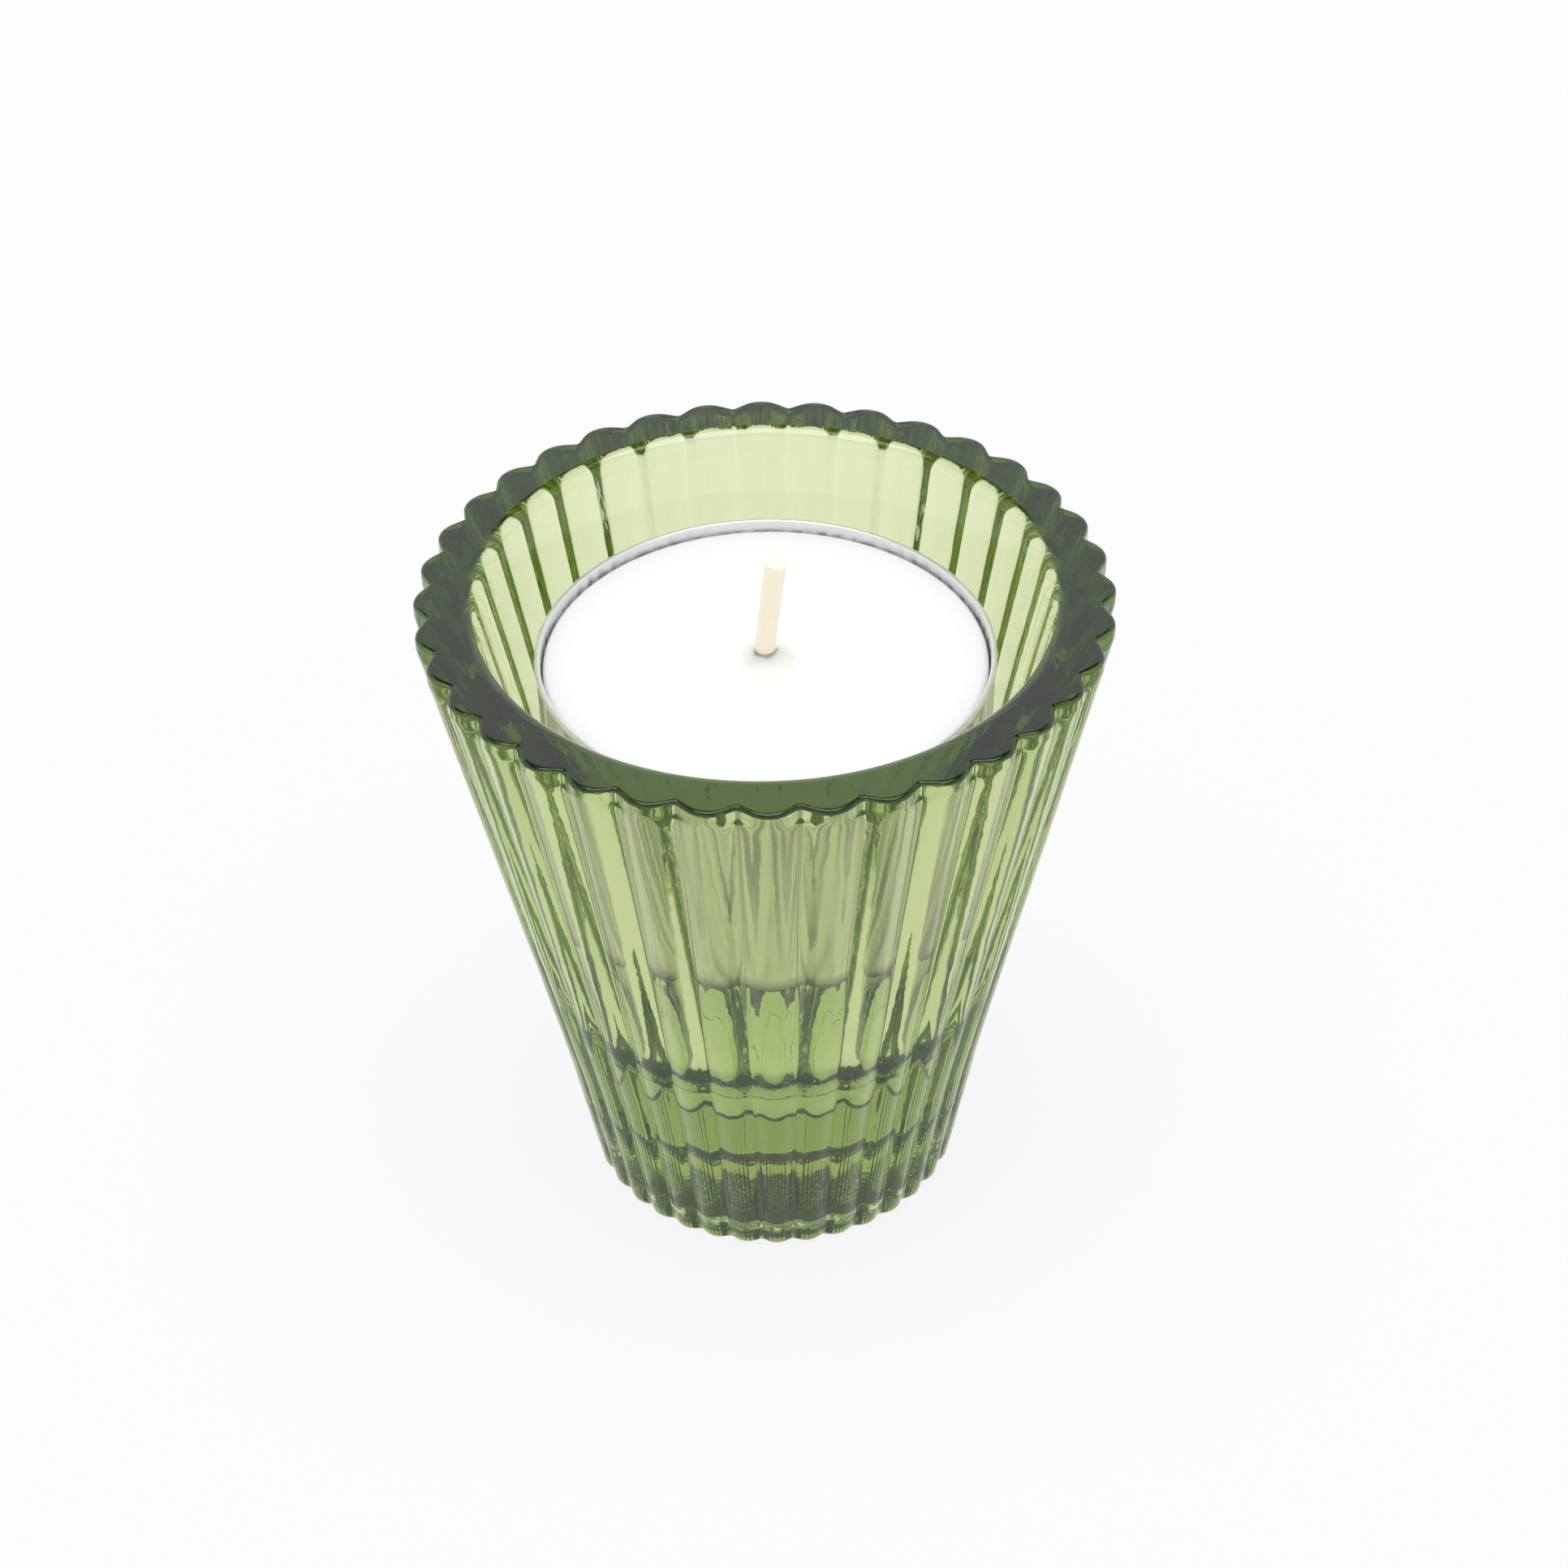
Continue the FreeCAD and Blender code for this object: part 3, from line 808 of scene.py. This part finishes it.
def make_waxed_cotton(settings):
    """Braided cotton, dipped in wax.

    The eye sees cream thread with fine fibres along the strands and a faint waxy sheen.
    """
    material, output = new_material("cotton_braided_waxed")
    tree = material.node_tree
    place = add_node(tree, "ShaderNodeTexCoord").outputs["Object"]
    fibres = add_node(tree, "ShaderNodeMapping", {"Vector": place, "Scale": (1, 1, 0.2)})
    thread = add_node(
        tree,
        "ShaderNodeTexNoise",
        {"Vector": fibres.outputs["Vector"], "Scale": 1 / (0.12 * MM), "Detail": 3.0},
    )
    shade = add_node(
        tree,
        "ShaderNodeMix",
        {
            "Factor": thread.outputs["Fac"],
            "A": [0.93 * channel for channel in settings.cotton] + [1],
            "B": [*settings.cotton, 1],
        },
        data_type="RGBA",
    )
    bump = add_node(
        tree,
        "ShaderNodeBump",
        {"Height": thread.outputs["Fac"], "Strength": 0.6, "Distance": 0.04 * MM},
    )
    cotton = add_node(
        tree,
        "ShaderNodeBsdfPrincipled",
        {
            "Base Color": shade.outputs["Result"],
            "Roughness": 0.6,
            "Subsurface Weight": 1.0,
            "Subsurface Radius": (1.0, 0.9, 0.75),
            "Subsurface Scale": 1.2 * MM,
            "Normal": bump.outputs["Normal"],
        },
    )
    tree.links.new(cotton.outputs["BSDF"], output.inputs["Surface"])
    return material


def build_tab():
    """A stamped disc drawn up into a neck, which three pinches hold on the wick."""
    low, disc, top = tab_low.z, tab_low.z + 0.25 * MM, tab_high.z
    bore = wick_radius() + 0.02 * MM
    outside = bore + 0.25 * MM
    profile = [(bore, low), (bore + 0.1 * MM, low), (tab_high.x - 0.1 * MM, low)]
    profile += arc((tab_high.x - 0.1 * MM, low + 0.1 * MM), 0.1 * MM, -90, 0, 3)
    profile += arc((tab_high.x - 0.1 * MM, disc - 0.1 * MM), 0.1 * MM, 0, 90, 3)
    profile += [(outside + 0.3 * MM, disc)] + walls((outside, disc), (outside, top), 10)
    profile += [(outside, top - 0.03 * MM), (outside - 0.03 * MM, top), (bore, top)]
    profile += walls((bore, top), (bore, low), 10)

    def shift(point):
        angle = math.atan2(point.y, point.x)
        up = (point.z - disc) / (top - disc)
        pinch = max(0.0, math.cos(3 * angle)) ** 8 * max(0.0, math.sin(math.pi * up))
        near = max(0.0, math.hypot(point.x, point.y) - bore) < 0.3 * MM
        return point - outwards(point) * (0.05 * MM * pinch if near and up > 0 else 0)

    rings = [round_ring(radius, level, 96, shift) for radius, level in profile]
    return skin("tab_stamped_steel", rings, loop=True)


def make_tinned_steel(settings):
    """Thin steel, tinned and then stamped.

    The eye sees a grey metal with a soft spangle and blurred highlights.
    """
    material, output = new_material("steel_tinned_stamped")
    tree = material.node_tree
    place = add_node(tree, "ShaderNodeTexCoord").outputs["Object"]
    spangle = add_node(tree, "ShaderNodeTexVoronoi", {"Vector": place, "Scale": 1 / (0.9 * MM)})
    roughness = add_node(
        tree,
        "ShaderNodeMapRange",
        {"Value": spangle.outputs["Distance"], "To Min": 0.28, "To Max": 0.45},
    )
    metal = add_node(
        tree,
        "ShaderNodeBsdfPrincipled",
        {
            "Base Color": [*settings.steel, 1],
            "Metallic": 1.0,
            "Roughness": roughness.outputs["Result"],
        },
    )
    tree.links.new(metal.outputs["BSDF"], output.inputs["Surface"])
    return material


class TEALIGHT_OT_wick(Operator):
    """Build the braided wick and the tab that holds it upright"""

    bl_idname = "tealight.wick"
    bl_label = "Wick and tab"

    def execute(self, context):
        settings = context.scene.tealight_wick
        dress(build_wick(settings), "wick", make_waxed_cotton(settings))
        dress(build_tab(), "wick_tab", make_tinned_steel(settings))
        return {"FINISHED"}


# ---- the stage ----------------------------------------------------------------------------------


class StageSettings(PropertyGroup):
    """The studio that the holder stands in."""

    table_size: length("Table size", 4000.0, "Length of the table top's sides")
    table: colour("Table", "#5A5A5A", "What the acrylic table top reflects")
    glow: colour("Glow", "#FFFCFF", "Light that comes up through the opal acrylic")
    glow_strength: FloatProperty(
        name="Glow", description="Brightness of the lit table top", default=0.87
    )
    room: colour("Room", "#FFFFFF", "Light from the walls and the ceiling")
    ceiling_strength: FloatProperty(
        name="Ceiling", description="Brightness of the ceiling", default=0.12
    )
    wall_strength: FloatProperty(name="Walls", description="Brightness of the walls", default=1.1)
    softbox_power: FloatProperty(
        name="Softbox", description="Power of the softbox overhead", default=9.0, unit="POWER"
    )
    softbox_width: length("Softbox width", 1100.0, "Left to right")
    softbox_depth: length("Softbox depth", 800.0, "Front to back")
    softbox_place: FloatVectorProperty(
        name="Softbox place",
        description="The middle of the softbox",
        default=(0.0, -0.1, 1.1),
        subtype="XYZ",
        unit="LENGTH",
    )
    lens: FloatProperty(name="Lens", description="Focal length in mm", default=92.3)
    distance: length("Distance", 347.4, "Camera to the point it aims at")
    elevation: FloatProperty(
        name="Elevation",
        description="How steeply the camera looks down",
        default=math.radians(38.76),
        subtype="ANGLE",
    )
    azimuth: FloatProperty(
        name="Azimuth",
        description="How far the camera has moved round from the front",
        default=math.radians(0.29),
        subtype="ANGLE",
    )
    roll: FloatProperty(
        name="Roll",
        description="How far the camera is tilted sideways",
        default=math.radians(-0.97),
        subtype="ANGLE",
    )
    aim: FloatVectorProperty(
        name="Aim",
        description="The point in the middle of the view",
        default=(1.36 * MM, 0.0, 39.66 * MM),
        subtype="XYZ",
        unit="LENGTH",
    )


def make_table(settings):
    """The lit opal top of a product table, a hair below the holder's foot."""
    half, drop = settings.table_size / 2, 0.05 * MM
    corners = [(-half, -half), (half, -half), (half, half), (-half, half)]
    mesh = bpy.data.meshes.new("table_top")
    mesh.from_pydata([(x, y, -drop) for x, y in corners], [], [(0, 1, 2, 3)])
    table = bpy.data.objects.new("table_top", mesh)
    bpy.context.scene.collection.objects.link(table)
    material, output = new_material("opal_acrylic_lit")
    opal = add_node(
        material.node_tree,
        "ShaderNodeBsdfPrincipled",
        {
            "Base Color": [*settings.table, 1],
            "Roughness": 0.9,
            "Specular IOR Level": 0.1,
            "Emission Color": [*settings.glow, 1],
            "Emission Strength": settings.glow_strength,
        },
    )
    material.node_tree.links.new(opal.outputs["BSDF"], output.inputs["Surface"])
    mesh.materials.append(material)


def make_lights(settings):
    """Pale walls all round, a dimmer ceiling, and one large softbox over the table."""
    world = bpy.data.worlds.new("studio_room")
    world.use_nodes = True
    tree = world.node_tree
    tree.nodes.clear()
    way = add_node(tree, "ShaderNodeTexCoord").outputs["Generated"]
    height = add_node(tree, "ShaderNodeSeparateXYZ", {"Vector": way})
    walls_end, ceiling_start = 0.66, 0.71
    strength = add_node(
        tree,
        "ShaderNodeMapRange",
        {
            "Value": height.outputs["Z"],
            "From Min": walls_end,
            "From Max": ceiling_start,
            "To Min": settings.wall_strength,
            "To Max": settings.ceiling_strength,
        },
        interpolation_type="SMOOTHSTEP",
    )
    room = add_node(
        tree,
        "ShaderNodeBackground",
        {"Color": [*settings.room, 1], "Strength": strength.outputs["Result"]},
    )
    output = add_node(tree, "ShaderNodeOutputWorld")
    tree.links.new(room.outputs["Background"], output.inputs["Surface"])
    bpy.context.scene.world = world

    softbox = bpy.data.lights.new("softbox", "AREA")
    softbox.shape = "RECTANGLE"
    softbox.size, softbox.size_y = settings.softbox_width, settings.softbox_depth
    softbox.energy = settings.softbox_power
    light = bpy.data.objects.new("softbox", softbox)
    light.location = settings.softbox_place
    light.rotation_euler = (-light.location).to_track_quat("-Z", "Y").to_euler()
    bpy.context.scene.collection.objects.link(light)


def make_camera(settings):
    """A short telephoto lens that looks down on the rim."""
    level = math.cos(settings.elevation)
    view = Vector(
        (
            math.sin(settings.azimuth) * level,
            math.cos(settings.azimuth) * level,
            -math.sin(settings.elevation),
        )
    )
    lens = bpy.data.cameras.new("camera")
    lens.sensor_width = 36.0
    lens.lens = settings.lens
    lens.clip_start = 0.01
    camera = bpy.data.objects.new("camera", lens)
    turn = view.to_track_quat("-Z", "Y").to_matrix() @ Matrix.Rotation(settings.roll, 3, "Z")
    camera.matrix_world = Matrix.Translation(Vector(settings.aim) - view * settings.distance) @ (
        turn.to_4x4()
    )
    bpy.context.scene.collection.objects.link(camera)
    bpy.context.scene.camera = camera


def set_light_paths(scene):
    """Lets light bounce round inside the thick glass until it has faded by itself."""
    scene.view_settings.view_transform = "Standard"
    scene.cycles.max_bounces = 40
    scene.cycles.transmission_bounces = 40
    scene.cycles.glossy_bounces = 12
    scene.cycles.diffuse_bounces = 6


class TEALIGHT_OT_stage(Operator):
    """Build the table, the lights and the camera"""

    bl_idname = "tealight.stage"
    bl_label = "Stage"

    def execute(self, context):
        settings = context.scene.tealight_stage
        make_table(settings)
        make_lights(settings)
        make_camera(settings)
        set_light_paths(context.scene)
        return {"FINISHED"}


# ---- the sidebar and the run ------------------------------------------------------------------

OPERATORS = (
    TEALIGHT_OT_stage,
    TEALIGHT_OT_holder,
    TEALIGHT_OT_cup,
    TEALIGHT_OT_wax,
    TEALIGHT_OT_wick,
)
SETTINGS = {
    "tealight_holder": HolderSettings,
    "tealight_cup": CupSettings,
    "tealight_wax": WaxSettings,
    "tealight_wick": WickSettings,
    "tealight_stage": StageSettings,
}


class TEALIGHT_PT_sidebar(Panel):
    """Lists the pieces and their settings"""

    bl_idname = "TEALIGHT_PT_sidebar"
    bl_label = "Ribbed tealight holder"
    bl_space_type = "VIEW_3D"
    bl_region_type = "UI"
    bl_category = "Tealight"

    def draw(self, context):
        for operator in OPERATORS:
            self.layout.operator(operator.bl_idname)
        for name, group in SETTINGS.items():
            box = self.layout.box()
            box.label(text=group.__doc__)
            for setting in group.__annotations__:
                box.prop(getattr(context.scene, name), setting)


def register():
    for group in SETTINGS.values():
        bpy.utils.register_class(group)
    for operator in OPERATORS:
        bpy.utils.register_class(operator)
    bpy.utils.register_class(TEALIGHT_PT_sidebar)
    for name, group in SETTINGS.items():
        setattr(bpy.types.Scene, name, PointerProperty(type=group))


def unregister():
    for name in SETTINGS:
        delattr(bpy.types.Scene, name)
    bpy.utils.unregister_class(TEALIGHT_PT_sidebar)
    for operator in reversed(OPERATORS):
        bpy.utils.unregister_class(operator)
    for group in reversed(SETTINGS.values()):
        bpy.utils.unregister_class(group)


def main():
    """Builds every piece in order."""
    register()
    bpy.ops.tealight.stage()
    bpy.ops.tealight.holder()
    bpy.ops.tealight.cup()
    bpy.ops.tealight.wax()
    bpy.ops.tealight.wick()


if __name__ == "__main__":
    main()
